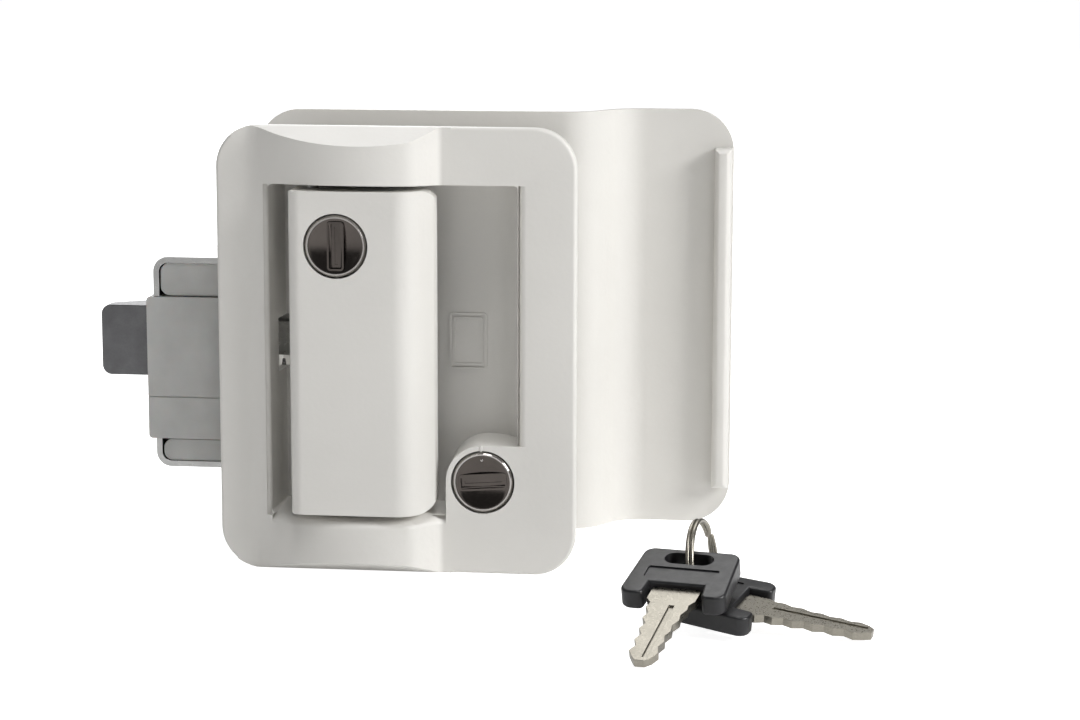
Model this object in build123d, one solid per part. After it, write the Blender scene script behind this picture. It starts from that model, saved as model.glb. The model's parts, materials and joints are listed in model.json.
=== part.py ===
from build123d import *
import os
from math import asin, cos, degrees, radians, sin, sqrt, tan

# Entry-door lock set for a caravan: an outside housing with a keyed pull paddle and a keyed deadbolt,
# an edge latch, an inside handle panel with a thumb turn, and two keys on a split ring.
# Millimetres. +X to the right seen from outside, +Y into the room, +Z up.
# The origin is the centre of the outside flange's mounting face, which lies on the door skin at Y = 0.

# ---- driving dimensions -------------------------------------------------------------------------
PLATE_W, PLATE_H, PLATE_T, PLATE_R = 95.25, 118.5, 3.2, 11.0
DOOR_T = 38.0
FRONT = -PLATE_T
HALF_W, HALF_H = PLATE_W / 2, PLATE_H / 2

# arch of the outside housing: a long arc on the left, a flatter one on the right,
# and a steep slope past a knee
ARCH_H = 10.4
CROWN = FRONT - ARCH_H
ARCH_X = -8.0
ARCH_LEFT_R, ARCH_RIGHT_R = 45.2, 36.0
ARCH_KNEE_X, ARCH_KNEE_R = 5.5, 7.0
ARCH_FOOT_LEFT = ARCH_X - sqrt(ARCH_LEFT_R**2 - (ARCH_LEFT_R - ARCH_H) ** 2)
ARCH_FOOT_RIGHT = 11.8
ARCH_END_SLOPE = tan(radians(22.6))
LEFT_BLEND_X = ARCH_FOOT_LEFT - 6.5

# finger well
WELL_X = (-33.0, 32.4)
WELL_Z = (-43.7, 44.2)
WELL_FLOOR = 11.5
WELL_DRAFT = 3.0
WELL_WALL = 2.3
SCOOP_R = 10.0
PAN_BACK = WELL_FLOOR + 2.5
WELL_CORNER_R = 1.2
LEFT_RIM_R, RIGHT_RIM_R, SILL_DROP = 1.7, 2.2, 2.4

# lock cylinders
CYL_R, PLUG_R, BORE_R = 8.05, 7.2, 8.5
CYL_L = 19.0
PADDLE_LOCK = (-14.0, 29.0)
BOLT_LOCK = (23.0, -34.5)
PADDLE_LOCK_FACE = CROWN + 0.4
KEYWAY = (2.6, 12.4)
BOSS_R = 9.8

# outside paddle
PADDLE_X = (-26.8, 10.9)
PADDLE_Z = (-42.2, 43.2)
PADDLE_SKIN = 2.6
PADDLE_FACE = CROWN + 0.2
PADDLE_KNEE_X, PADDLE_KNEE_R = 4.8, 7.0
PADDLE_LIP_Y = -4.0
PADDLE_LEFT_R = 3.4
PADDLE_PIVOT = (-21.5, -4.0)
PADDLE_ARM = 24.4
PADDLE_SWING = 40.0
PIN_R = 1.5
RUN = 0.06

# edge latch
CASE_X, CASE_T = -67.8, 1.6
CASE_Y = (8.0, 34.0)
CASE_Z = (-34.7, 22.6)
CASE_BEND_R, CASE_LEG_X = 4.0, -47.0
CASE_SCREW, CASE_SCREW_R = (-41.0, 11.5), 1.3
GUIDE_X = (-69.7, -44.0)
GUIDE_Y = (7.4, 32.5)
COVER_Y = (8.4, 31.5)
GUIDE_Z = (-26.9, 11.8)
BOLT_NOSE, BOLT_REAR = -84.3, -60.0
BOLT_Y = (15.0, 27.0)
BOLT_Z = (-11.0, 8.3)
BOLT_TRAVEL = 16.0
TAIL_Y = (23.5, 26.0)
TAIL_Z = (-6.0, 3.0)
DEAD_Y = (15.0, 27.0)
DEAD_Z = (-26.0, -17.4)
DEAD_NOSE = -69.3
CAM_PIN_R, CAM_THROW = 2.0, 9.0
DEAD_TRAVEL = CAM_THROW * sqrt(2)

# inside base, handle panel and thumb turn
BASE_X, BASE_Z = (-42.0, 42.0), (-54.0, 54.0)
BASE_FRONT = DOOR_T + 7.8
PANEL_X = (-48.0, 85.0)
PANEL_Y, PANEL_T = 51.0, 2.6
WING_Y = 66.0
PANEL_R = 12.0
PANEL_BEND_X, PANEL_BEND_R = (44.5, 54.0), 12.0
LIP_W, LIP_DEPTH, LIP_HALF_L, LIP_R = 4.6, 6.0, 48.5, 2.0
HANDLE_PIVOT = (-38.0, 48.3)
HANDLE_PIN_R = 1.25
HANDLE_ARM_NOSE_Y = 21.0
NOSE_R = 2.5
SCREW_X, SCREW_Z, SCREW_R = 30.15, 44.45, 2.0
SCREWS = [(x, z) for x in (-SCREW_X, SCREW_X) for z in (-SCREW_Z, SCREW_Z)]

# keys
KEY_SLOT_TO_TIP = 45.5
BOW_W, BOW_T = 26.6, 5.0
BOW_SLOT = (5.4, 12.5)
PANEL_SUNK = 0.35
BLADE_T = 2.0
RING_R, RING_WIRE = 11.6, 0.55
RING_CENTRE, RING_TURN, RING_LEAN = (83.2, -37.2, -47.1), -11.0, -8.0
KEY_A_ANGLE, KEY_A_HEADING, KEY_A_ROLL = 12.0, -102.0, 0.0
KEY_B_ANGLE, KEY_B_HEADING, KEY_B_ROLL = -25.5, -14.5, 6.0
FLOOR = -HALF_H


# ---- helpers ------------------------------------------------------------------------------------
def block(x, y, z):
    """Box between two limits on each axis."""
    middle = Pos((x[0] + x[1]) / 2, (y[0] + y[1]) / 2, (z[0] + z[1]) / 2)
    return middle * Box(x[1] - x[0], y[1] - y[0], z[1] - z[0])


def rod_y(x, z, r, y):
    return Pos(x, (y[0] + y[1]) / 2, z) * Rot(90, 0, 0) * Cylinder(r, y[1] - y[0])


def rod_z(x, y, r, z):
    return Pos(x, y, (z[0] + z[1]) / 2) * Cylinder(r, z[1] - z[0])


def slab(face, y, taper=0.0):
    """A face drawn in X and Z, made solid from y[1] back to y[0]; taper narrows it towards y[0]."""
    return Pos(0, y[1], 0) * Rot(90, 0, 0) * extrude(face, y[1] - y[0], taper=taper)


def column(face, z):
    """A face drawn in X and Y, made solid between two heights."""
    return Pos(0, 0, z[0]) * extrude(face, z[1] - z[0])


def rounded_slab(x, y, z, r):
    face = Pos((x[0] + x[1]) / 2, (z[0] + z[1]) / 2) * RectangleRounded(x[1] - x[0], z[1] - z[0], r)
    return slab(face, y)


def coil(count, pitch, major, minor):
    """A spring drawn as separate rings along +Z, centred on the origin."""
    start = -(count - 1) * pitch / 2
    return [Pos(0, 0, start + i * pitch) * Torus(major, minor) for i in range(count)]


# ---- outside housing ----------------------------------------------------------------------------
def arch_drop(x, radius):
    """How far the arch's surface lies behind its crown at x."""
    return radius - sqrt(radius**2 - (x - ARCH_X) ** 2)


def arch_face(back):
    """Section of the arch between its feet, closed at Y = back."""
    left, right = ARCH_FOOT_LEFT, ARCH_FOOT_RIGHT
    mid_l, mid_r = (left + ARCH_X) / 2, (ARCH_KNEE_X + ARCH_X) / 2
    knee = (ARCH_KNEE_X, CROWN + arch_drop(ARCH_KNEE_X, ARCH_RIGHT_R))
    line = [
        Line((left, back), (left, FRONT)),
        ThreePointArc((left, FRONT), (mid_l, CROWN + arch_drop(mid_l, ARCH_LEFT_R)), (ARCH_X, CROWN)),
        ThreePointArc((ARCH_X, CROWN), (mid_r, CROWN + arch_drop(mid_r, ARCH_RIGHT_R)), knee),
        Line(knee, (right, FRONT)),
        Line((right, FRONT), (right, back)),
        Line((right, back), (left, back)),
    ]
    section = make_face(line)
    corner = [v for v in section.vertices() if abs(v.X - ARCH_KNEE_X) < 0.01]
    return fillet(corner, ARCH_KNEE_R)


def end_slopes(half_height):
    """Prism along X whose ends lean in above the flange, as the ends of the arch do."""
    reach = ARCH_H + 4
    top = half_height - reach * ARCH_END_SLOPE
    points = [(0, -half_height), (FRONT, -half_height), (FRONT - reach, -top),
              (FRONT - reach, top), (FRONT, half_height), (0, half_height)]
    section = Plane.YZ * make_face(Polyline(*points, close=True))
    return Pos(-60, 0, 0) * extrude(section, 120)


def front_section(left, right, back):
    """Section of the arch on a strip of flange, its feet blended into the flange."""
    strip = Pos((left + right) / 2, (FRONT + back) / 2) * Rectangle(right - left, back - FRONT)
    section = arch_face(back) + strip
    for foot, radius in ((ARCH_FOOT_LEFT, 9.0), (ARCH_FOOT_RIGHT, 1.8)):
        corner = [v for v in section.vertices() if abs(v.X - foot) < 0.01 and abs(v.Y - FRONT) < 0.01]
        section = fillet(corner, radius)
    return section


def front_shell():
    """Flange with the arch standing on it."""
    flange = rounded_slab((-HALF_W, HALF_W), (FRONT, 0), (-HALF_H, HALF_H), PLATE_R)
    flange = fillet(flange.faces().sort_by(Axis.Y)[0].edges(), 1.0)
    section = front_section(LEFT_BLEND_X, ARCH_FOOT_RIGHT + 3, -0.5)
    arch = column(section, (-HALF_H, HALF_H)) & end_slopes(HALF_H)
    return flange + (arch & rounded_slab((-HALF_W, HALF_W), (-30, 0), (-HALF_H, HALF_H), PLATE_R))


def well_outline(grow):
    """The finger well in X and Z at the flange front, with the corner taken by the bolt lock's boss."""
    x0, x1 = WELL_X[0] - grow, WELL_X[1] + grow
    z0, z1 = WELL_Z[0] - grow, WELL_Z[1] + grow
    face = make_face(Polyline((x0, z0), (x1, z0), (x1, z1), (x0, z1), close=True))
    face = fillet(face.vertices(), WELL_CORNER_R + grow)
    reach = BOSS_R - grow
    boss = Pos(BOLT_LOCK[0] - reach + 20, BOLT_LOCK[1] + reach - 20) * RectangleRounded(40, 40, reach - 0.1)
    return face - boss


def scoop_section(grow):
    """The well in X and Y: a flat floor that curves up to the right-hand edge."""
    x0, x1 = WELL_X[0] - 5, WELL_X[1] + grow
    floor = WELL_FLOOR + grow
    radius = SCOOP_R + grow
    middle = radius * (1 - sin(radians(45)))
    line = [
        Line((x0, -20), (x0, floor)),
        Line((x0, floor), (x1 - radius, floor)),
        ThreePointArc((x1 - radius, floor), (x1 - middle, floor - middle), (x1, floor - radius)),
        Line((x1, floor - radius), (x1 + 5, -20)),
        Line((x1 + 5, -20), (x0, -20)),
    ]
    return make_face(line)


def well(grow, y_front):
    """The well's space, or with grow the space of the pan around it."""
    deep = WELL_FLOOR + max(grow, 0)
    narrowing = (deep - FRONT) * tan(radians(WELL_DRAFT))
    floor_face = offset(well_outline(grow), -narrowing, kind=Kind.INTERSECTION)
    drafted = slab(floor_face, (y_front, deep), taper=-WELL_DRAFT)
    return drafted & column(scoop_section(grow), (-60, 60))


def side_rounding(section, x, outward, radius, z):
    """What a rounded rim takes off the section's edge at x, whose solid lies outward of it."""
    reach = 12.0
    beside = section & Pos(x + outward * reach / 2, -5) * Rectangle(reach, 30)
    corner = [v for v in beside.vertices() if abs(v.X - x) < 0.01 and v.Y < 0]
    return column(beside - fillet(corner, radius), z)


def sill_rounding(x):
    """What the rounded lower rim of the well takes off, in two slopes that follow the arch."""
    section = front_section(-44, 44, 2.0)
    rim = WELL_Z[0]
    taken = block(x, (-20, 0), (rim - SILL_DROP, rim + 0.01))
    low = Pos(0, 0, rim - SILL_DROP) * extrude(section, SILL_DROP * 0.45, taper=22)
    inner = low.faces().sort_by(Axis.Z)[-1]
    high = extrude(inner, SILL_DROP * 0.55 + 0.02, taper=56)
    return taken - low - high


def exterior_housing():
    """Cast outside housing: flange, arch, pan of the finger well, cylinder boss, screw posts, latch ears."""
    x_b, z_b = BOLT_LOCK
    body = front_shell() + (well(WELL_WALL, FRONT) & block((-60, 60), (-0.5, 30), (-60, 60)))
    body += rod_y(x_b, z_b, 10.9, (-1, 12))
    for x, z in SCREWS:
        beside_boss = x > 0 > z
        body += rod_y(x, z, 3.0, (-1.0 if beside_boss else WELL_FLOOR + 0.6, 20))
    for z in ((17.0, CASE_Z[1] - CASE_T), (CASE_Z[0] + CASE_T, -29.1)):
        body += block((-46.0, -33.8), (9.0, PAN_BACK), z)
    body += block((-28.0, -26.0), (PAN_BACK - 0.5, 21.5), (-12.2, -7.0))
    body -= well(0, -20)
    body -= side_rounding(arch_face(2.0), WELL_X[0] - 0.1, -1, LEFT_RIM_R, (WELL_Z[0] - 0.6, WELL_Z[1]))
    flange = front_section(-44, 44, 2.0)
    body -= side_rounding(flange, WELL_X[1], 1, RIGHT_RIM_R, (BOLT_LOCK[1] + BOSS_R, WELL_Z[1]))
    body -= sill_rounding((WELL_X[0], BOLT_LOCK[0] - BOSS_R))
    body -= rod_y(x_b, z_b, BORE_R, (-20, 30))
    body -= block((-38.0, -1.5), (3.2, 16.0), (-7.0, 7.4))
    for x, z in SCREWS:
        body -= rod_y(x, z, SCREW_R, (13.5, 21))
    for z in ((40, 49), (-49, -40)):
        body -= rod_z(*PADDLE_PIVOT, PIN_R, z)
    relief = offset(arch_face(2.0), -PADDLE_SKIN, kind=Kind.INTERSECTION)
    for z in ((50.2, 56.0), (-56.0, -50.2)):
        body -= column(relief, z) & (Pos(0, PADDLE_SKIN, 0) * end_slopes(HALF_H - 2.5))
    return body


# ---- outside paddle -----------------------------------------------------------------------------
def paddle_outline():
    x0, x1 = PADDLE_X
    z0, z1 = PADDLE_Z
    face = make_face(Polyline((x0, z0), (x1, z0), (x1, z1), (x0, z1), close=True))
    right = face.vertices().sort_by(Axis.X)[-2:]
    face = fillet(right, 4.0)
    return fillet(face.vertices().sort_by(Axis.X)[:2], 0.8)


def paddle_section(inset):
    """Section of the paddle, inset from its outside: flat face, rounded left edge, slope to the free edge."""
    x0, x1 = PADDLE_X
    section = make_face(Polyline((x0, 8.0), (x0, PADDLE_FACE), (PADDLE_KNEE_X, PADDLE_FACE),
                                 (x1 - 0.5, PADDLE_LIP_Y), (x1, 8.0), close=True))
    left = [v for v in section.vertices() if abs(v.X - x0) < 0.01 and v.Y < 0]
    section = fillet(left, PADDLE_LEFT_R)
    knee = [v for v in section.vertices() if abs(v.X - PADDLE_KNEE_X) < 0.01]
    section = fillet(knee, PADDLE_KNEE_R)
    return offset(section, -inset, kind=Kind.INTERSECTION) if inset else section


def exterior_paddle():
    """Hollow paddle: a skin with end walls, cylinder boss, arm pad and knuckles."""
    x_l, z_l = PADDLE_LOCK
    x0, x1 = PADDLE_X
    outer = column(paddle_section(0), PADDLE_Z) & slab(paddle_outline(), (-20, 0.4))
    hollow = column(paddle_section(PADDLE_SKIN), (PADDLE_Z[0] + 2.4, PADDLE_Z[1] - 2.4))
    skin = outer - hollow
    room = paddle_section(0.5)
    skin += rod_y(x_l, z_l, 10.4, (-20, 2.0)) & column(room, PADDLE_Z)
    pad = block((x0 + 1, -11.5), (-20, -8.2), (-10.0, 8.0))
    skin += pad & column(room, PADDLE_Z)
    x_p, y_p = PADDLE_PIVOT
    for z in ((36.5, 42.0), (-41.0, -37.5), (-22.0, -18.5)):
        ear = rod_z(x_p, y_p, 3.6, z) + block((x_p - 3.6, x_p + 3.6), (-10.5, y_p), z)
        skin += ear & column(room, PADDLE_Z)
    skin -= rod_y(x_l, z_l, BORE_R, (-30, 30))
    skin -= rod_z(x_p, y_p, PIN_R + RUN, (-50, 50))
    return skin


def paddle_arm():
    """Steel lever riveted inside the paddle; its nose pushes the latch tail back."""
    x_p, y_p = PADDLE_PIVOT
    nose_y = y_p + PADDLE_ARM
    z = (-4.0, 2.0)
    lever = block((x_p - NOSE_R, x_p + NOSE_R), (-8.2, nose_y), z) + rod_z(x_p, nose_y, NOSE_R, z)
    foot = block((-24.1, -12.0), (-8.2, -6.4), (-9.0, 7.0))
    return lever + foot


def paddle_rivets():
    return [rod_y(-14.5, z, 1.9, (-6.4, -5.3)) for z in (-6.6, 4.6)]


def paddle_hinge_pins():
    x_p, y_p = PADDLE_PIVOT
    return [rod_z(x_p, y_p, PIN_R, (37.0, 48.5)), rod_z(x_p, y_p, PIN_R, (-48.5, -19.0))]


def paddle_spring():
    x_p, y_p = PADDLE_PIVOT
    turns = [Pos(x_p, y_p, -29.75) * ring for ring in coil(11, 1.2, 2.1, 0.45)]
    leg = block((x_p + 1.6, x_p + 9.0), (-5.9, -5.1), (-23.9, -23.1))
    return turns + [leg]


# ---- lock cylinders -----------------------------------------------------------------------------
def cylinder_body(centre, face_y, length):
    """Fixed barrel: bevelled rim, plug bore and a groove for its clip."""
    x, z = centre
    barrel = rod_y(x, z, CYL_R, (face_y, face_y + length))
    front = barrel.faces().sort_by(Axis.Y)[0]
    barrel = chamfer(front.edges(), 0.45)
    barrel -= rod_y(x, z, PLUG_R + RUN, (face_y - 1, face_y + length + 1))
    groove = (face_y + length - 1.7, face_y + length - 0.8)
    barrel -= rod_y(x, z, CYL_R + 1, groove) - rod_y(x, z, CYL_R - 0.45, groove)
    return barrel


def cylinder_clip(centre, face_y, length):
    """Open spring clip in the barrel's groove."""
    x, z = centre
    y = (face_y + length - 1.7, face_y + length - 0.8)
    clip = rod_y(x, z, 9.0, y) - rod_y(x, z, CYL_R - 0.45, y)
    return clip - block((x - 4.5, x + 4.5), y, (z - 12, z))


def lock_plug(centre, face_y, length, keyway_angle):
    """Turning plug with a dished face and a keyway."""
    x, z = centre
    plug = rod_y(x, z, PLUG_R, (face_y + 0.25, face_y + length))
    dish_r = 22.0
    plug -= Pos(x, face_y + 0.25 + 1.15 - dish_r, z) * Sphere(dish_r)
    width, height = KEYWAY
    slot = Box(width, 16.0, height)
    at = Pos(x, face_y + 6.0, z) * Rot(0, keyway_angle, 0)
    return plug - at * slot


def keyway_shutter(centre, face_y, keyway_angle):
    """Dust shutter filling the keyway just under the face."""
    x, z = centre
    width, height = KEYWAY
    plate = Box(width, 1.2, height)
    groove = Pos(0, -0.6, 0) * Box(width * 0.3, 0.5, height * 0.8)
    return Pos(x, face_y + 2.15, z) * Rot(0, keyway_angle, 0) * (plate - groove)


def paddle_lock_cam():
    """Flat cam behind the paddle plug; it points right when the paddle is free and up when it is locked."""
    x, z = PADDLE_LOCK
    y = (PADDLE_LOCK_FACE + 19.3, PADDLE_LOCK_FACE + 21.3)
    cam = rod_y(x, z, 5.0, y) + block((x, x + 11.0), y, (z - 3.5, z + 3.5)) + rod_y(x + 9.5, z, 3.5, y)
    return cam


def cam_screw():
    x, z = PADDLE_LOCK
    y = PADDLE_LOCK_FACE + 21.3
    return rod_y(x, z, 3.0, (y, y + 1.6)) - block((x - 0.5, x + 0.5), (y + 0.8, y + 2), (z - 4, z + 4))


def bolt_tailpiece():
    """Flat blade on the back of the bolt lock's plug."""
    x, z = BOLT_LOCK
    return block((x - 2.5, x + 2.5), (FRONT + 20.0, FRONT + 23.4), (z - 0.8, z + 0.8))


# ---- edge latch ---------------------------------------------------------------------------------
def latch_case():
    """Steel strap: end plate notched for the guide, and two legs that run back to the housing."""
    x0, x1 = CASE_X, -35.8
    z0, z1 = CASE_Z
    outer = make_face(Polyline((x0, z0), (x1, z0), (x1, z1), (x0, z1), close=True))
    outer = fillet(outer.vertices().sort_by(Axis.X)[:2], CASE_BEND_R)
    inner = Pos(CASE_T, 0) * make_face(Polyline((x0, z0 + CASE_T), (x1, z0 + CASE_T), (x1, z1 - CASE_T),
                                                (x0, z1 - CASE_T), close=True))
    inner = fillet(inner.vertices().sort_by(Axis.X)[:2], CASE_BEND_R - CASE_T)
    strap = slab(outer - inner, CASE_Y)
    gap = 0.1
    slot_y, slot_z = (GUIDE_Y[0] - gap, GUIDE_Y[1] + gap), (GUIDE_Z[0] - gap, GUIDE_Z[1] + gap)
    strap -= block((x0 - 1, x0 + CASE_T + 1), slot_y, slot_z)
    strap -= block((CASE_LEG_X, x1 + 1), (PAN_BACK + 0.2, CASE_Y[1] + 1), (z0 - 1, z1 + 1))
    for z in CASE_Z:
        strap -= rod_z(*CASE_SCREW, CASE_SCREW_R, (z - 3, z + 3))
    return strap


def case_screws():
    """Two small screws that hold the strap's legs on the housing's ears."""
    z0, z1 = CASE_Z
    head_r, head_t = 2.3, 1.2
    upper = rod_z(*CASE_SCREW, head_r, (z1, z1 + head_t))
    upper += rod_z(*CASE_SCREW, CASE_SCREW_R, (z1 - CASE_T, z1))
    lower = rod_z(*CASE_SCREW, head_r, (z0 - head_t, z0))
    lower += rod_z(*CASE_SCREW, CASE_SCREW_R, (z0, z0 + CASE_T))
    return [upper, lower]


def latch_guide():
    """Nylon guide with a chamber for each bolt and a groove for the retractor's tongue."""
    body = block(GUIDE_X, GUIDE_Y, GUIDE_Z)
    corner = body.edges().filter_by(Axis.Y).group_by(Axis.X)[0]
    body = fillet(corner, 1.0)
    gap = 0.15
    past = (GUIDE_X[0] - 1, GUIDE_X[1] + 1)
    body -= block(past, (BOLT_Y[0] - gap, BOLT_Y[1] + gap), (BOLT_Z[0] - gap, BOLT_Z[1] + gap))
    body -= block(past, (DEAD_Y[0] - gap, DEAD_Y[1] + gap), (DEAD_Z[0] - gap, DEAD_Z[1] + gap))
    body -= block((-64.0, GUIDE_X[1] + 1), (28.7, 31.3), (-2.4, 6.4))
    body -= block((GUIDE_X[0] - 1, -47.6), (GUIDE_Y[0] - 1, GUIDE_Y[0] + 0.35), (-15.6, -15.2))
    return body


def latch_cover(z):
    """Nylon filler block between the guide and one leg of the strap."""
    body = block((CASE_X + CASE_T + 0.3, -47.0), COVER_Y, z)
    return fillet(body.edges().filter_by(Axis.Y).group_by(Axis.X)[0], 2.5)


def latch_bolt():
    """Sintered bolt: flat outside face, ramp on the room side, slightly crowned nose."""
    outline = make_face(Polyline((BOLT_NOSE, BOLT_Y[0]), (BOLT_REAR, BOLT_Y[0]), (BOLT_REAR, BOLT_Y[1]),
                                 (BOLT_NOSE + 14.0, BOLT_Y[1]), (BOLT_NOSE, BOLT_Y[0] + 3.5), close=True))
    body = column(outline, BOLT_Z)
    middle = Pos((BOLT_NOSE + BOLT_REAR) / 2, (BOLT_Z[0] + BOLT_Z[1]) / 2)
    side = middle * Rectangle(BOLT_REAR - BOLT_NOSE, BOLT_Z[1] - BOLT_Z[0])
    side = fillet(side.vertices().sort_by(Axis.X)[:2], 2.6)
    return body & slab(side, (BOLT_Y[0] - 1, BOLT_Y[1] + 1))


def latch_tail():
    """Steel tail plate with a lug for the paddle's arm and a pin for the retractor."""
    lug_x = PADDLE_PIVOT[0] + NOSE_R + 0.5
    plate = block((BOLT_REAR, lug_x + 3.0), TAIL_Y, TAIL_Z)
    lug = block((lug_x, lug_x + 3.0), (PAN_BACK + 0.6, TAIL_Y[1]), (-5.0, TAIL_Z[1]))
    pin = rod_y(-36.2, -1.0, 2.2, (TAIL_Y[1] - 1.0, 28.5))
    return plate + lug + pin


def latch_spring():
    turns = coil(13, 2.55, 2.0, 0.5)
    return [Pos(-44.0, 18.0, -8.4) * Rot(0, 90, 0) * ring for ring in turns]


def latch_retractor():
    """Steel slide moved by the inside handle: tongue, tab behind the tail's pin, lug for the handle's arm."""
    y = (29.0, 31.0)
    lug_x = HANDLE_PIVOT[0] + NOSE_R + 0.3
    body = block((-62.0, -41.0), y, (-2.0, 6.0))
    body += block((-41.0, -29.0), y, (-4.0, 9.0))
    body += block((lug_x, -29.0), y, (8.5, 17.5))
    body += block((-41.0, -38.8), (26.3, y[1]), (-4.0, 4.0))
    body += block((lug_x, lug_x + 3.0), (18.5, y[1]), (11.0, 17.5))
    return body


def deadbolt_bar():
    """Deadbolt: nose block, long bar and a fork driven by the cam's pin."""
    pin_x = BOLT_LOCK[0] + DEAD_TRAVEL / 2
    nose = block((DEAD_NOSE, -46.0), DEAD_Y, DEAD_Z)
    nose = fillet(nose.edges().filter_by(Axis.Y).group_by(Axis.X)[0], 1.2)
    bar = block((-47.0, pin_x + 5.0), (21.6, 24.6), (-25.0, -18.5))
    fork = block((pin_x - 5.0, pin_x + 5.0), (21.6, 24.6), (-31.0, -18.5))
    slot = block((pin_x - CAM_PIN_R - 0.35, pin_x + CAM_PIN_R + 0.35), (20, 26), (-32.0, -23.0))
    return nose + bar + fork - slot


def deadbolt_cam():
    """Cam on the thumb turn's spindle; the plug's tailpiece fits its slot and its pin drives the fork."""
    x, z = BOLT_LOCK
    y = (FRONT + 21.2, FRONT + 24.5)
    throw = CAM_THROW * sin(radians(45))
    pin = (x + throw, z + throw)
    middle = (x + throw / 2, z + throw / 2)
    arm = Pos(middle[0], (y[0] + y[1]) / 2, middle[1]) * Rot(0, -45, 0) * Box(CAM_THROW, y[1] - y[0], 6.4)
    cam = rod_y(x, z, 5.2, y) + arm + rod_y(*pin, 3.2, y)
    cam += rod_y(*pin, CAM_PIN_R, (y[0], 25.4))
    return cam - block((x - 2.65, x + 2.65), (y[0] - 1, FRONT + 23.5), (z - 0.95, z + 0.95))


# ---- inside base, handle and thumb turn ---------------------------------------------------------
def interior_base():
    """Shallow tray on the room side of the door, with the handle's hinge ears."""
    wall, corner = 2.0, 8.0
    tray = rounded_slab(BASE_X, (DOOR_T, BASE_FRONT), BASE_Z, corner)
    tray = fillet(tray.faces().sort_by(Axis.Y)[-1].edges(), 0.8)
    room_x, room_z = (BASE_X[0] + wall, BASE_X[1] - wall), (BASE_Z[0] + wall, BASE_Z[1] - wall)
    tray -= rounded_slab(room_x, (DOOR_T - 1, BASE_FRONT - wall), room_z, corner - wall)
    for x, z in SCREWS:
        tray += rod_y(x, z, 4.2, (DOOR_T, BASE_FRONT - 1))
    x_h, y_h = HANDLE_PIVOT
    for z in ((44.4, 49.0), (-49.0, -44.4), (33.0, 37.0), (-37.0, -33.0)):
        tray += rod_z(x_h, y_h, 2.2, z) + block((x_h - 2.2, x_h + 2.2), (BASE_FRONT - 1, y_h), z)
    tray -= rod_z(x_h, y_h, HANDLE_PIN_R, (-60, 60))
    tray -= block((x_h - 3.3, -22.0), (DOOR_T - 1, BASE_FRONT + 1), (10.0, 18.5))
    for x, z in SCREWS:
        tray -= rod_y(x, z, SCREW_R + 0.15, (DOOR_T - 1, BASE_FRONT + 1))
    x_b, z_b = BOLT_LOCK
    tray += rod_y(x_b, z_b, 5.5, (DOOR_T + 2, BASE_FRONT - 1))
    tray -= rod_y(x_b, z_b, 3.0 + RUN, (DOOR_T - 1, BASE_FRONT + 1))
    return tray


def mounting_screws():
    """Four machine screws from the inside base into the housing's posts."""
    screws = []
    head = (BASE_FRONT, BASE_FRONT + 2.2)
    recess = (BASE_FRONT + 1.0, BASE_FRONT + 3.0)
    for x, z in SCREWS:
        screw = rod_y(x, z, SCREW_R, (14.0, BASE_FRONT)) + rod_y(x, z, 3.8, head)
        screw = fillet(screw.faces().sort_by(Axis.Y)[-1].edges(), 0.9)
        cross = block((x - 2.2, x + 2.2), recess, (z - 0.45, z + 0.45))
        cross += block((x - 0.45, x + 0.45), recess, (z - 2.2, z + 2.2))
        screws.append(screw - cross)
    return screws


def handle_hinge_pin():
    return rod_z(*HANDLE_PIVOT, HANDLE_PIN_R, (-50.5, 50.5))


def handle_spring():
    x_h, y_h = HANDLE_PIVOT
    turns = [Pos(x_h, y_h, 26.0) * ring for ring in coil(12, 1.1, 1.85, 0.4)]
    return turns


def panel_section():
    """The handle panel in X and Y: flat, a double curve back to the wing, and a turned-in lip."""
    middle = PANEL_Y + PANEL_T / 2
    wing = WING_Y + PANEL_T / 2
    bends = [(PANEL_BEND_X[0], middle), (PANEL_BEND_X[1], wing)]
    centre = FilletPolyline((PANEL_X[0], middle), *bends, (PANEL_X[1], wing), radius=PANEL_BEND_R)
    return trace(centre, line_width=PANEL_T)


def interior_panel():
    """Inside handle: one curved panel hinged at its left, with a finger lip at its free edge."""
    outline = (PANEL_X, (40, 90), (-HALF_H, HALF_H))
    panel = column(panel_section(), (-HALF_H, HALF_H)) & rounded_slab(*outline, PANEL_R)
    x1 = PANEL_X[1]
    lip = block((x1 - LIP_W - 0.4, x1 - 0.4), (WING_Y - LIP_DEPTH, WING_Y + 1.0), (-LIP_HALF_L, LIP_HALF_L))
    lip = fillet(lip.faces().sort_by(Axis.Y)[0].edges(), LIP_R)
    panel += lip
    x_h, y_h = HANDLE_PIVOT
    for z in ((39.5, 44.0), (-44.0, -39.5)):
        panel += rod_z(x_h, y_h, 2.2, z) + block((x_h - 2.2, x_h + 2.2), (y_h, PANEL_Y + 0.5), z)
        panel -= rod_z(x_h, y_h, HANDLE_PIN_R + RUN, z)
    x_b, z_b = BOLT_LOCK
    panel -= rod_y(x_b, z_b, 15.0, (40, 80))
    return panel


def handle_arm():
    """Steel lever under the handle panel; its nose pushes the retractor."""
    x_h, y_h = HANDLE_PIVOT
    z = (11.5, 16.5)
    lever = block((x_h - 2.2, x_h + 2.2), (HANDLE_ARM_NOSE_Y, y_h), z)
    lever += rod_z(x_h, HANDLE_ARM_NOSE_Y, NOSE_R, z)
    lever += rod_z(x_h, y_h, 2.2, z) + block((x_h, x_h + 14.0), (PANEL_Y - 1.8, PANEL_Y), (9.5, 18.5))
    lever += block((x_h - 2.2, x_h + 2.2), (y_h, PANEL_Y), z)
    return lever - rod_z(x_h, y_h, HANDLE_PIN_R + RUN, (0, 30))


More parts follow.
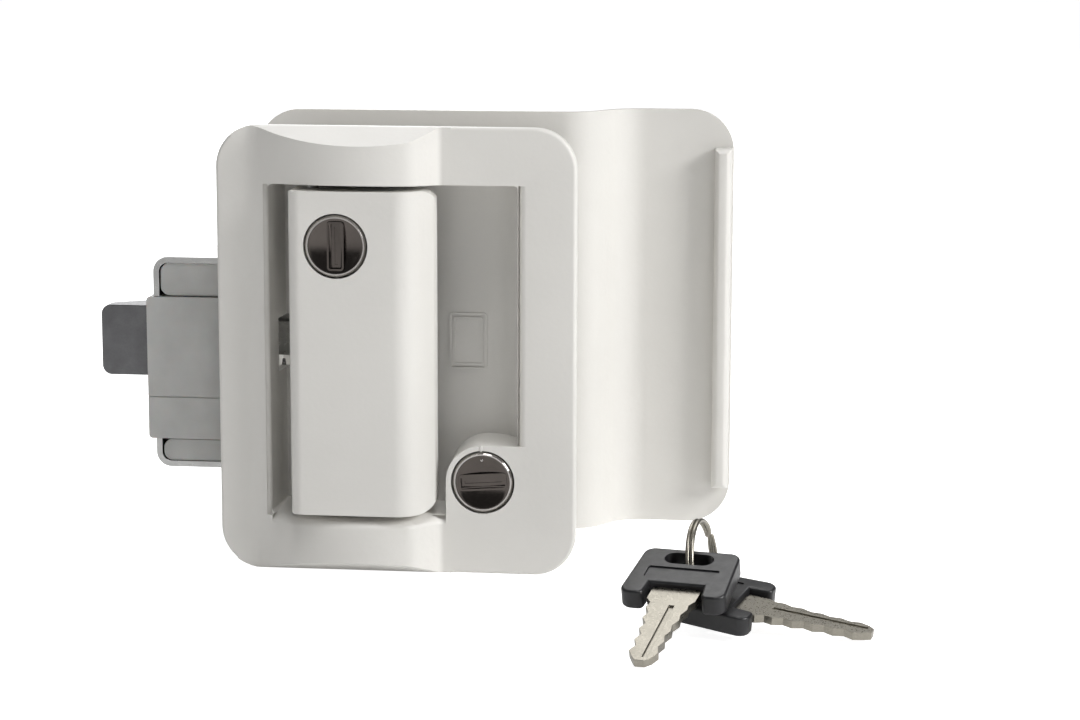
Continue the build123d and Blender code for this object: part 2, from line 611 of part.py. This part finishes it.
def thumb_turn():
    """Knob and spindle for the deadbolt."""
    x, z = BOLT_LOCK
    disc = rod_y(x, z, 7.8, (BASE_FRONT + 0.3, BASE_FRONT + 3.3))
    disc = fillet(disc.faces().sort_by(Axis.Y)[-1].edges(), 1.0)
    grip = rounded_slab((x - 11.0, x + 11.0), (BASE_FRONT + 2.6, BASE_FRONT + 13.0), (z - 3.2, z + 3.2), 3.1)
    grip = fillet(grip.faces().sort_by(Axis.Y)[-1].edges(), 1.2)
    return disc + grip


def thumb_spindle():
    x, z = BOLT_LOCK
    return rod_y(x, z, 3.0, (FRONT + 24.5, BASE_FRONT + 0.3))


# ---- keys ---------------------------------------------------------------------------------------
def key_bow():
    """Moulded bow lying in X and Y with the blade towards +X; the ring's slot is centred on the origin."""
    half, far, foot, notch = BOW_W / 2, -4.6, 17.6, 12.0
    side = [(far, half - 1.2), (foot, half), (foot, 7.4), (notch, 6.9)]
    outline = make_face(Polyline(*side, *reversed([(x, -y) for x, y in side]), close=True))
    corners = [v for v in outline.vertices() if v.X < far + 0.1 or v.X > foot - 0.1 and abs(v.Y) > half - 0.1]
    outline = fillet(corners, 2.8)
    toes = [v for v in outline.vertices() if v.X > foot - 0.1 and abs(v.Y) < 8.0]
    outline = fillet(toes, 1.4)
    bow = Pos(0, 0, -BOW_T / 2) * extrude(outline, BOW_T)
    rims = bow.faces().filter_by(Axis.Z)
    bow = fillet([e for f in rims for e in f.edges()], 0.7)
    bow -= Pos(0, 0, -BOW_T) * extrude(SlotOverall(BOW_SLOT[1], BOW_SLOT[0], rotation=90), 2 * BOW_T)
    panel = Pos(7.2, 0) * RectangleRounded(5.4, 18.0, 0.6)
    for z in (-BOW_T / 2 - 0.5, BOW_T / 2 - PANEL_SUNK):
        bow -= Pos(0, 0, z) * extrude(panel, 0.5 + PANEL_SUNK)
    bow -= Box(60, 9.4, BLADE_T) & Pos(15, 0, 0) * Box(22, 30, 10)
    return bow


def key_blade():
    """Double-sided blade with wavy cuts and a centre groove."""
    tip = KEY_SLOT_TO_TIP
    cuts = [(6.0, 4.7), (12.3, 4.7), (12.3, 6.3), (17.4, 6.1), (19.4, 5.0), (21.6, 5.2)]
    cuts += [(24.0, 4.2), (26.5, 4.6), (29.0, 3.5), (31.5, 4.0), (34.0, 3.1), (36.5, 3.7)]
    cuts += [(39.0, 2.9), (41.5, 3.6), (44.0, 2.6), (tip, 1.2)]
    other = [(x, -w if i % 2 else -w + 0.35) for i, (x, w) in enumerate(cuts)]
    outline = make_face(Polyline(*cuts, *reversed(other), close=True))
    blade = Pos(0, 0, -BLADE_T / 2) * extrude(outline, BLADE_T)
    for side in (-1, 1):
        blade -= Pos(32.0, side * 0.9, side * BLADE_T / 2) * Box(24.0, 1.3, 1.0)
    return blade


def key_frame(slot, heading, roll):
    """Frame of a key: origin in the ring's slot, +X down to its tip by the floor, rolled about +X."""
    drop = slot.Z - (FLOOR + BLADE_T)
    tilt = degrees(asin(drop / KEY_SLOT_TO_TIP))
    return Pos(slot.X, slot.Y, slot.Z) * Rot(0, 0, heading) * Rot(0, tilt, 0) * Rot(roll, 0, 0)


RING_FRAME = Pos(*RING_CENTRE) * Rot(0, 0, RING_TURN) * Rot(0, RING_LEAN, 0)


def ring_point(angle):
    """Point on the ring's centre line, measured up from its point nearest the outside."""
    turn = radians(angle)
    return (RING_FRAME * Pos(0, -RING_R * cos(turn), RING_R * sin(turn))).position


def key_ring():
    upright = RING_FRAME * Rot(0, 90, 0)
    return [upright * Pos(0, 0, side * (RING_WIRE + 0.02)) * Torus(RING_R, RING_WIRE) for side in (-1, 1)]


# ---- all nodes ----------------------------------------------------------------------------------
KEY_A = key_frame(ring_point(KEY_A_ANGLE), KEY_A_HEADING, KEY_A_ROLL)
KEY_B = key_frame(ring_point(KEY_B_ANGLE), KEY_B_HEADING, KEY_B_ROLL)
NODES = {
    "exterior_housing": exterior_housing(),
    "exterior_paddle": exterior_paddle(),
    "paddle_arm": paddle_arm(),
    "paddle_arm_rivets": paddle_rivets(),
    "paddle_hinge_pins": paddle_hinge_pins(),
    "paddle_return_spring": paddle_spring(),
    "paddle_lock_barrel": cylinder_body(PADDLE_LOCK, PADDLE_LOCK_FACE, CYL_L),
    "paddle_lock_clip": cylinder_clip(PADDLE_LOCK, PADDLE_LOCK_FACE, CYL_L),
    "paddle_lock_plug": lock_plug(PADDLE_LOCK, PADDLE_LOCK_FACE, CYL_L + 0.3, 0),
    "paddle_lock_shutter": keyway_shutter(PADDLE_LOCK, PADDLE_LOCK_FACE, 0),
    "paddle_lock_cam": paddle_lock_cam(),
    "paddle_lock_cam_screw": cam_screw(),
    "bolt_lock_barrel": cylinder_body(BOLT_LOCK, FRONT, CYL_L),
    "bolt_lock_clip": cylinder_clip(BOLT_LOCK, FRONT, CYL_L),
    "bolt_lock_plug": lock_plug(BOLT_LOCK, FRONT, CYL_L + 1.0, 86),
    "bolt_lock_shutter": keyway_shutter(BOLT_LOCK, FRONT, 86),
    "bolt_lock_tailpiece": bolt_tailpiece(),
    "latch_case": latch_case(),
    "latch_case_screws": case_screws(),
    "latch_guide": latch_guide(),
    "latch_cover_upper": latch_cover((GUIDE_Z[1] + 0.3, CASE_Z[1] - CASE_T)),
    "latch_cover_lower": latch_cover((CASE_Z[0] + CASE_T, GUIDE_Z[0] - 0.3)),
    "latch_bolt": latch_bolt(),
    "latch_tail": latch_tail(),
    "latch_spring": latch_spring(),
    "latch_retractor": latch_retractor(),
    "deadbolt_bar": deadbolt_bar(),
    "deadbolt_cam": deadbolt_cam(),
    "thumb_spindle": thumb_spindle(),
    "thumb_turn": thumb_turn(),
    "interior_base": interior_base(),
    "mounting_screws": mounting_screws(),
    "handle_hinge_pin": handle_hinge_pin(),
    "handle_return_spring": handle_spring(),
    "interior_panel": interior_panel(),
    "handle_arm": handle_arm(),
    "key_ring": key_ring(),
    "key_a_bow": KEY_A * key_bow(),
    "key_a_blade": KEY_A * key_blade(),
    "key_b_bow": KEY_B * key_bow(),
    "key_b_blade": KEY_B * key_blade(),
}

os.makedirs("parts", exist_ok=True)
for name, shape in NODES.items():
    solids = shape if isinstance(shape, list) else [shape]
    export_step(Compound(children=solids) if len(solids) > 1 else solids[0], f"parts/{name}.step")
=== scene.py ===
"""Looks of a keyed entry-door lock set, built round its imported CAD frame. Metres, in the frame's axes."""

import json
import math

import bmesh
import bpy
from mathutils import Matrix, Vector


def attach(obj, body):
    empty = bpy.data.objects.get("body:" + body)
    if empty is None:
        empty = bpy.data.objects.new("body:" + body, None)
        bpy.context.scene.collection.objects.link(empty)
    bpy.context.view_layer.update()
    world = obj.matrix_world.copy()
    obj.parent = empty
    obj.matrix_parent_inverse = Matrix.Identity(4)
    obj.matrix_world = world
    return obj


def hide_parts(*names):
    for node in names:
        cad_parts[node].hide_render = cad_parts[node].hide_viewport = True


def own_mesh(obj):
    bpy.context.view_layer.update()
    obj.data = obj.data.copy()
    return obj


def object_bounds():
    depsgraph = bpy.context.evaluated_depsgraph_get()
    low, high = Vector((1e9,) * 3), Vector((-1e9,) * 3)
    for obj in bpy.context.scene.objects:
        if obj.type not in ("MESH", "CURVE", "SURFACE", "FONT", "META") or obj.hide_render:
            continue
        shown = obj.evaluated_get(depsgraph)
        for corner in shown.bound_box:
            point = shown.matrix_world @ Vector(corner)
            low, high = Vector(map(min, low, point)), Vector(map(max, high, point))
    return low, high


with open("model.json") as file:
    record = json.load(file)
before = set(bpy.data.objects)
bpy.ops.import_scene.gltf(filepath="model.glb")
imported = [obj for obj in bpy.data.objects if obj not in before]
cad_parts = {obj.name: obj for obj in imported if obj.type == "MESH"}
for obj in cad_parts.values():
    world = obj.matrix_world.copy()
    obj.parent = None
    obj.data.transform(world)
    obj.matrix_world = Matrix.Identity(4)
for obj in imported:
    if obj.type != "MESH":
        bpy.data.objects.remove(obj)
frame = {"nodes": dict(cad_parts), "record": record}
cad_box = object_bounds()
MM = 0.001
NODES = frame["nodes"]
SLOT_OF = {row["node"]: row["material_slot"] for row in frame["record"]["subparts"]}


# ---- camera, floor and light --------------------------------------------------------------------
CAMERA_AT = Vector((0.1191, -0.7079, 0.1200))
CAMERA_TO = Vector((0.03784, 0.0, -0.00185))
CAMERA_ROLL = math.radians(0.136)
SENSOR_MM = 36.0
LENS_MM = 91.7
FLOOR_Z = cad_box[0].z
FLOOR_REACH = 12.0
FLOOR_GLOW = 0.17
FLOOR_SEEN_GLOW = 0.90
WORLD_LIGHT = 0.11
WORLD_SEEN = 1.0


def make_camera():
    data = bpy.data.cameras.new("camera")
    data.sensor_width = SENSOR_MM
    data.lens = LENS_MM
    data.clip_start = 0.01
    data.clip_end = 20.0
    camera = bpy.data.objects.new("camera", data)
    bpy.context.scene.collection.objects.link(camera)
    camera.location = CAMERA_AT
    turn = (CAMERA_TO - CAMERA_AT).to_track_quat("-Z", "Y").to_matrix().to_4x4()
    camera.matrix_world = Matrix.Translation(CAMERA_AT) @ turn @ Matrix.Rotation(CAMERA_ROLL, 4, "Z")
    bpy.context.scene.camera = camera


def area_light(name, at, to, size, power, colour=(1.0, 1.0, 1.0)):
    data = bpy.data.lights.new(name, "AREA")
    data.shape = "RECTANGLE"
    data.size, data.size_y = size
    data.energy = power
    data.color = colour
    light = bpy.data.objects.new(name, data)
    bpy.context.scene.collection.objects.link(light)
    at, to = Vector(at), Vector(to)
    light.matrix_world = Matrix.Translation(at) @ (to - at).to_track_quat("-Z", "Y").to_matrix().to_4x4()


def brighter_when_seen(tree, socket, as_light, as_seen):
    """A strength that differs between what lights the object and what the camera sees behind it."""
    path = tree.nodes.new("ShaderNodeLightPath")
    strength = tree.nodes.new("ShaderNodeMapRange")
    strength.inputs["To Min"].default_value = as_light
    strength.inputs["To Max"].default_value = as_seen
    tree.links.new(path.outputs["Is Camera Ray"], strength.inputs["Value"])
    tree.links.new(strength.outputs["Result"], socket)


def make_world():
    world = bpy.data.worlds.new("studio")
    bpy.context.scene.world = world
    world.use_nodes = True
    background = world.node_tree.nodes["Background"]
    background.inputs["Color"].default_value = (1.0, 1.0, 1.0, 1.0)
    brighter_when_seen(world.node_tree, background.inputs["Strength"], WORLD_LIGHT, WORLD_SEEN)


def make_floor():
    mesh = bpy.data.meshes.new("floor")
    reach = FLOOR_REACH
    outline = ((-reach, -reach), (reach, -reach), (reach, reach), (-reach, reach))
    corners = [(x, y, FLOOR_Z) for x, y in outline]
    mesh.from_pydata(corners, [], [(0, 1, 2, 3)])
    floor = bpy.data.objects.new("floor", mesh)
    bpy.context.scene.collection.objects.link(floor)
    material = bpy.data.materials.new("pale_floor")
    material.use_nodes = True
    shader = material.node_tree.nodes["Principled BSDF"]
    shader.inputs["Base Color"].default_value = (0.9, 0.9, 0.9, 1.0)
    shader.inputs["Roughness"].default_value = 0.8
    shader.inputs["Emission Color"].default_value = (1.0, 1.0, 1.0, 1.0)
    brighter_when_seen(material.node_tree, shader.inputs["Emission Strength"], FLOOR_GLOW, FLOOR_SEEN_GLOW)
    mesh.materials.append(material)


# ---- materials ----------------------------------------------------------------------------------
class Surface:
    """A node material whose colour, roughness and bump come from noise in the object's own coordinates."""

    def __init__(self, name):
        self.material = bpy.data.materials.new(name)
        self.material.use_nodes = True
        self.tree = self.material.node_tree
        self.shader = self.tree.nodes["Principled BSDF"]
        self.coords = self.tree.nodes.new("ShaderNodeTexCoord").outputs["Object"]
        self.normal = None

    def node(self, kind, **inputs):
        made = self.tree.nodes.new(kind)
        for key, value in inputs.items():
            socket = made.inputs[key.replace("_", " ")]
            if hasattr(value, "links"):
                self.tree.links.new(value, socket)
            else:
                socket.default_value = value
        return made

    def set(self, **inputs):
        for key, value in inputs.items():
            socket = self.shader.inputs[key.replace("_", " ")]
            if hasattr(value, "links"):
                self.tree.links.new(value, socket)
            else:
                socket.default_value = value

    def stretched(self, scale, turn=(0.0, 0.0, 0.0)):
        made = self.tree.nodes.new("ShaderNodeMapping")
        made.inputs["Scale"].default_value = scale
        made.inputs["Rotation"].default_value = turn
        self.tree.links.new(self.coords, made.inputs["Vector"])
        return made.outputs["Vector"]

    def noise(self, size_mm, detail=2.0, vector=None):
        made = self.node("ShaderNodeTexNoise", Scale=1.0 / (size_mm * MM), Detail=detail)
        self.tree.links.new(vector if vector is not None else self.coords, made.inputs["Vector"])
        return made.outputs["Fac"]

    def ramp(self, factor, stops):
        made = self.tree.nodes.new("ShaderNodeValToRGB")
        self.tree.links.new(factor, made.inputs["Fac"])
        ramp = made.color_ramp
        while len(ramp.elements) < len(stops):
            ramp.elements.new(0.5)
        for element, (place, value) in zip(ramp.elements, stops):
            element.position = place
            rgb = value if isinstance(value, tuple) else (value, value, value)
            element.color = (*rgb, 1.0)
        return made.outputs["Color"]

    def bump(self, height, distance_mm, strength=1.0):
        made = self.tree.nodes.new("ShaderNodeBump")
        made.inputs["Strength"].default_value = strength
        made.inputs["Distance"].default_value = distance_mm * MM
        self.tree.links.new(height, made.inputs["Height"])
        if self.normal is not None:
            self.tree.links.new(self.normal, made.inputs["Normal"])
        self.normal = made.outputs["Normal"]
        self.tree.links.new(self.normal, self.shader.inputs["Normal"])


def shade(colour, factor):
    return tuple(min(1.0, c * factor) for c in colour)


def white_paint():
    s = Surface("satin_white_powder_coat")
    tone = (0.74, 0.725, 0.69)
    s.set(Base_Color=s.ramp(s.noise(28.0, 3.0), [(0.3, shade(tone, 0.975)), (0.7, shade(tone, 1.012))]))
    s.set(Roughness=s.ramp(s.noise(6.0, 3.0), [(0.3, 0.34), (0.75, 0.42)]))
    s.set(Specular_IOR_Level=0.45)
    s.bump(s.noise(1.4, 1.0), 0.035)
    s.bump(s.noise(0.35, 2.0), 0.006)
    return s.material


def nylon():
    s = Surface("natural_nylon")
    tone = (0.50, 0.50, 0.485)
    s.set(Base_Color=s.ramp(s.noise(9.0, 4.0), [(0.25, shade(tone, 0.88)), (0.75, shade(tone, 1.06))]))
    s.set(Roughness=s.ramp(s.noise(3.0, 3.0), [(0.3, 0.42), (0.75, 0.58)]))
    s.set(Subsurface_Weight=0.12, Subsurface_Scale=0.002)
    s.bump(s.noise(0.5, 3.0), 0.02)
    return s.material


def black_plastic():
    s = Surface("black_moulded_plastic")
    dark, light = (0.010, 0.010, 0.011), (0.019, 0.019, 0.021)
    s.set(Base_Color=s.ramp(s.noise(5.0, 3.0), [(0.3, dark), (0.75, light)]))
    s.set(Roughness=s.ramp(s.noise(1.5, 3.0), [(0.3, 0.30), (0.75, 0.42)]))
    s.bump(s.noise(0.3, 3.0), 0.014)
    return s.material


def metal(name, tone, rough, grain_mm, grain_depth_mm, direction=None, mottle=0.06):
    s = Surface(name)
    s.set(Metallic=1.0)
    stops = [(0.3, shade(tone, 1.0 - mottle)), (0.7, shade(tone, 1.0 + mottle))]
    s.set(Base_Color=s.ramp(s.noise(5.0, 4.0), stops))
    vector = s.stretched(direction) if direction else None
    grain = s.noise(grain_mm, 3.0, vector)
    s.set(Roughness=s.ramp(grain, [(0.3, rough[0]), (0.75, rough[1])]))
    s.bump(grain, grain_depth_mm)
    return s.material


CHROME = (0.46, 0.44, 0.42)
DARK_CHROME = (0.105, 0.092, 0.084)
NICKEL = (0.33, 0.31, 0.265)
ZINC = (0.50, 0.50, 0.49)
SPRING_WIRE = (0.34, 0.34, 0.35)
SINTERED = (0.17, 0.17, 0.175)


def make_materials():
    """One material for each of the record's slots."""
    return {
        "white_paint": white_paint(),
        "nylon": nylon(),
        "black_plastic": black_plastic(),
        "chrome": metal("polished_chrome", CHROME, (0.08, 0.16), 1.2, 0.0015, mottle=0.03),
        "dark_chrome": metal("polished_dark_chrome", DARK_CHROME, (0.12, 0.20), 1.0, 0.002, mottle=0.06),
        "nickel": metal("nickel_plate", NICKEL, (0.24, 0.42), 0.5, 0.012, (1.0, 1.0, 3.0)),
        "zinc_steel": metal("zinc_plated_steel", ZINC, (0.26, 0.40), 0.8, 0.006, mottle=0.08),
        "spring_steel": metal("drawn_spring_wire", SPRING_WIRE, (0.20, 0.32), 0.4, 0.003),
        "sintered_steel": metal("dark_sintered_steel", SINTERED, (0.38, 0.55), 0.5, 0.015, mottle=0.12),
    }


MATERIALS = make_materials()


# ---- pieces -------------------------------------------------------------------------------------
def finish_piece(piece, slot_name, body):
    piece.data.materials.clear()
    piece.data.materials.append(MATERIALS[slot_name])
    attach(piece, body)
    return piece


def mesh_piece(name, mesh, slot_name, body):
    piece = bpy.data.objects.new(name, mesh)
    bpy.context.scene.collection.objects.link(piece)
    return finish_piece(piece, slot_name, body)


def tube_piece(name, points, radius, slot_name, body, closed=False):
    """A round wire along points, with flat filled ends."""
    curve = bpy.data.curves.new(name, "CURVE")
    curve.dimensions = "3D"
    curve.bevel_depth = radius
    curve.bevel_resolution = 4
    curve.use_fill_caps = True
    spline = curve.splines.new("POLY")
    spline.points.add(len(points) - 1)
    for target, point in zip(spline.points, points):
        target.co = (*point, 1.0)
    spline.use_cyclic_u = closed
    holder = bpy.data.objects.new(name + "_path", curve)
    mesh = bpy.data.meshes.new_from_object(holder)
    bpy.data.objects.remove(holder)
    bpy.data.curves.remove(curve)
    mesh.name = name
    mesh.shade_smooth()
    return mesh_piece(name, mesh, slot_name, body)


def dress_cad_node(name, bevel_mm=0.0, segments=2):
    """The CAD node keeps its mesh; its edges are broken by a modifier and it gets the slot's material."""
    piece = NODES[name]
    mesh = piece.data
    mesh.materials.clear()
    mesh.materials.append(MATERIALS[SLOT_OF[name]])
    for polygon in mesh.polygons:
        polygon.material_index = 0
    normals = mesh.attributes.get("custom_normal")
    if normals is not None:
        mesh.attributes.remove(normals)
    mesh.shade_smooth()
    weld = piece.modifiers.new("weld", "WELD")
    weld.merge_threshold = 0.002 * MM
    if bevel_mm:
        flat = piece.modifiers.new("flat", "DECIMATE")
        flat.decimate_type = "DISSOLVE"
        flat.angle_limit = math.radians(0.5)
        bevel = piece.modifiers.new("edges", "BEVEL")
        bevel.width = bevel_mm * MM
        bevel.segments = segments
        bevel.limit_method = "ANGLE"
        bevel.angle_limit = math.radians(35)
        bevel.use_clamp_overlap = True
        bevel.harden_normals = True
    else:
        split = piece.modifiers.new("sharp", "EDGE_SPLIT")
        split.split_angle = math.radians(32)


# ---- springs, ring and raised marks --------------------------------------------------------------
def spring_piece(name, centre, axis, radius, wire, turns, length, body):
    """A helical spring whose last turn at each end lies flat, along the unit vector axis."""
    along = Vector(axis)
    frame_turn = along.to_track_quat("Z", "Y").to_matrix()
    steps = 20
    total = turns * steps
    points = []
    for i in range(total + 1):
        turn = i / steps
        share = min(max((turn - 0.8) / (turns - 1.6), 0.0), 1.0)
        flat_turns = min(turn, 0.8) + max(turn - turns + 0.8, 0.0)
        height = (share - 0.5) * (length - 4.0 * wire) + (flat_turns - 0.8) * wire
        angle = math.tau * turn
        local = Vector((radius * math.cos(angle), radius * math.sin(angle), height))
        points.append(Vector(centre) + frame_turn @ local)
    return tube_piece(name, points, wire, "spring_steel", body)


def add_springs():
    latch = spring_piece("latch_spring_coil", LATCH_SPRING_AT, (1, 0, 0), *LATCH_SPRING, "lock_frame")
    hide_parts("latch_spring")
    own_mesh(latch)
    handle = spring_piece("handle_spring_coil", HANDLE_SPRING_AT, (0, 0, 1), *HANDLE_SPRING, "lock_frame")
    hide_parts("handle_return_spring")


def add_split_ring():
    """Two close turns of wire, one over the other, with a short crossing where they change side."""
    steps = 240
    points = []
    gap = RING_WIRE + 0.00002
    for i in range(steps + 1):
        turn = 2.0 * i / steps
        crossing = min(max((turn - 0.94) / 0.12, 0.0), 1.0)
        side = gap * (1.0 - 2.0 * crossing * crossing * (3.0 - 2.0 * crossing))
        angle = math.tau * turn + RING_ENDS_AT
        local = Vector((side, -RING_R * math.cos(angle), RING_R * math.sin(angle)))
        points.append(RING_PLACE @ local)
    ring = tube_piece("split_ring", points, RING_WIRE, "nickel", "ring")
    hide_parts("key_ring")


def frame_mesh(name, width, height, corner, band, rise):
    """A thin raised frame with rounded corners, in X and Y, standing up by rise along +Z."""
    mesh = bmesh.new()
    steps = 6
    loops = []
    for inset, z in ((0.0, 0.0), (0.0, rise), (band, rise), (band, 0.0)):
        radius = corner - inset
        half_w, half_h = width / 2 - corner, height / 2 - corner
        loop = []
        for corner_index, (sx, sy) in enumerate(((1, 1), (-1, 1), (-1, -1), (1, -1))):
            for i in range(steps + 1):
                angle = math.radians(90.0 * (corner_index + i / steps))
                x = sx * half_w + radius * math.cos(angle)
                y = sy * half_h + radius * math.sin(angle)
                loop.append(mesh.verts.new((x, y, z)))
        loops.append(loop)
    count = len(loops[0])
    for first, second in zip(loops, loops[1:] + loops[:1]):
        for i in range(count):
            j = (i + 1) % count
            mesh.faces.new((first[i], first[j], second[j], second[i]))
    bmesh.ops.recalc_face_normals(mesh, faces=mesh.faces)
    made = bpy.data.meshes.new(name)
    mesh.to_mesh(made)
    mesh.free()
    return made


def facing_outside(x, y, z, turn_degrees=0.0):
    """Placement that turns +Z of a mesh to the outside of the door, -Y."""
    outwards = Matrix.Rotation(math.radians(90), 4, "X")
    turned = Matrix.Rotation(math.radians(turn_degrees), 4, "Z")
    return Matrix.Translation((x, y, z)) @ outwards @ turned


def frame_piece(name, place, shape, slot_name, body):
    size, corner, band, rise = shape
    mesh = frame_mesh(name, *size, corner, band, rise)
    mesh.transform(place)
    return mesh_piece(name, mesh, slot_name, body)


def add_keyway_frames():
    for name, (x, y, z), turn, body in PLUG_FACES:
        frame_piece(name + "_keyway_frame", facing_outside(x, y, z, turn), KEYWAY_FRAME, "dark_chrome", body)


def add_cartouche():
    """Blank double outline cast into the floor of the well."""
    place = facing_outside(*CARTOUCHE_AT)
    frame_piece("cartouche_outer", place, CARTOUCHE_OUTER, "white_paint", "lock_frame")
    frame_piece("cartouche_inner", place, CARTOUCHE_INNER, "white_paint", "lock_frame")


def dome_mesh(name, radius, flatness):
    """A small round bump, flattened along Z."""
    mesh = bmesh.new()
    bmesh.ops.create_uvsphere(mesh, u_segments=24, v_segments=12, radius=radius)
    for vertex in mesh.verts:
        vertex.co.z *= flatness
    made = bpy.data.meshes.new(name)
    mesh.to_mesh(made)
    mesh.free()
    made.shade_smooth()
    return made


def add_marks():
    """Index dot on the deadbolt's plug and the tick over it on the housing."""
    dot = dome_mesh("index_dot", 0.00042, 0.6)
    dot.transform(facing_outside(*INDEX_DOT_AT))
    mesh_piece("index_dot", dot, "chrome", "bolt_plug")
    tick = dome_mesh("index_tick", 0.0009, 0.28)
    tick.transform(Matrix.Diagonal((0.5, 1.0, 1.0, 1.0)))
    tick.transform(facing_outside(*TICK_AT))
    mesh_piece("index_tick", tick, "white_paint", "lock_frame")


# Width in millimetres to which each node's sharp edges are broken; the rest are split at theirs
BEVELS = {
    "exterior_housing": 0.3, "exterior_paddle": 0.3, "latch_case": 0.15, "latch_guide": 0.25,
    "latch_cover_upper": 0.25, "latch_cover_lower": 0.25, "latch_bolt": 0.3, "deadbolt_bar": 0.3,
    "latch_tail": 0.15, "latch_retractor": 0.15, "interior_base": 0.25, "interior_panel": 0.3,
    "handle_arm": 0.2, "paddle_arm": 0.2, "thumb_turn": 0.2, "paddle_lock_cam": 0.2,
    "deadbolt_cam": 0.2, "bolt_lock_tailpiece": 0.1,
    "key_a_blade": 0.1, "key_b_blade": 0.1, "mounting_screws": 0.1,
}

# Where the hand-made pieces go, in the frame's axes, and their sizes
# A spring is its coil radius, wire radius, number of turns and length
LATCH_SPRING_AT = (-0.044, 0.018, -0.0084)
LATCH_SPRING = (0.0020, 0.0005, 13, 0.0312)
HANDLE_SPRING_AT = (-0.038, 0.0483, 0.026)
HANDLE_SPRING = (0.00185, 0.0004, 12, 0.0130)
RING_R = 0.0116
RING_WIRE = 0.00055
RING_ENDS_AT = math.radians(150)
RING_PLACE = (
    Matrix.Translation((0.0832, -0.0372, -0.0471))
    @ Matrix.Rotation(math.radians(-11.0), 4, "Z")
    @ Matrix.Rotation(math.radians(-8.0), 4, "Y")
)
# A raised frame is its width and height, corner radius, band and rise
PLUG_FACES = [
    ("paddle_lock", (-0.0140, -0.01225, 0.0290), 0.0, "paddle_plug"),
    ("bolt_lock", (0.0230, -0.00195, -0.0345), 94.0, "bolt_plug"),
]
KEYWAY_FRAME = ((0.0044, 0.0128), 0.0009, 0.0005, 0.0009)
CARTOUCHE_AT = (0.0172, 0.0117, 0.0010)
CARTOUCHE_OUTER = ((0.0102, 0.0152), 0.0009, 0.0005, 0.0007)
CARTOUCHE_INNER = ((0.0080, 0.0130), 0.0006, 0.0005, 0.0006)
INDEX_DOT_AT = (0.0227, -0.0026, -0.0286)
TICK_AT = (0.0226, -0.0032, -0.0254)

make_camera()
make_world()
make_floor()
area_light("key", (1.15, -0.42, 0.62), (0.02, 0.0, 0.0), (0.5, 0.5), 13.0)
area_light("fill", (-0.9, -0.6, 0.5), (0.0, 0.0, 0.0), (0.8, 0.8), 0.5)
area_light("top_front", (0.15, -0.40, 1.25), (0.0, 0.0, 0.0), (0.4, 0.4), 5.0)
area_light("top_back", (0.0, 0.9, 1.2), (0.0, 0.0, 0.0), (1.2, 0.8), 8.0)
area_light("back", (-0.5, 1.2, 0.4), (0.0, 0.0, 0.0), (0.8, 0.8), 5.0)
bpy.context.scene.view_settings.view_transform = "Standard"

for cad_name in sorted(NODES):
    dress_cad_node(cad_name, BEVELS.get(cad_name, 0.0))
add_springs()
add_split_ring()
add_keyway_frames()
add_cartouche()
add_marks()
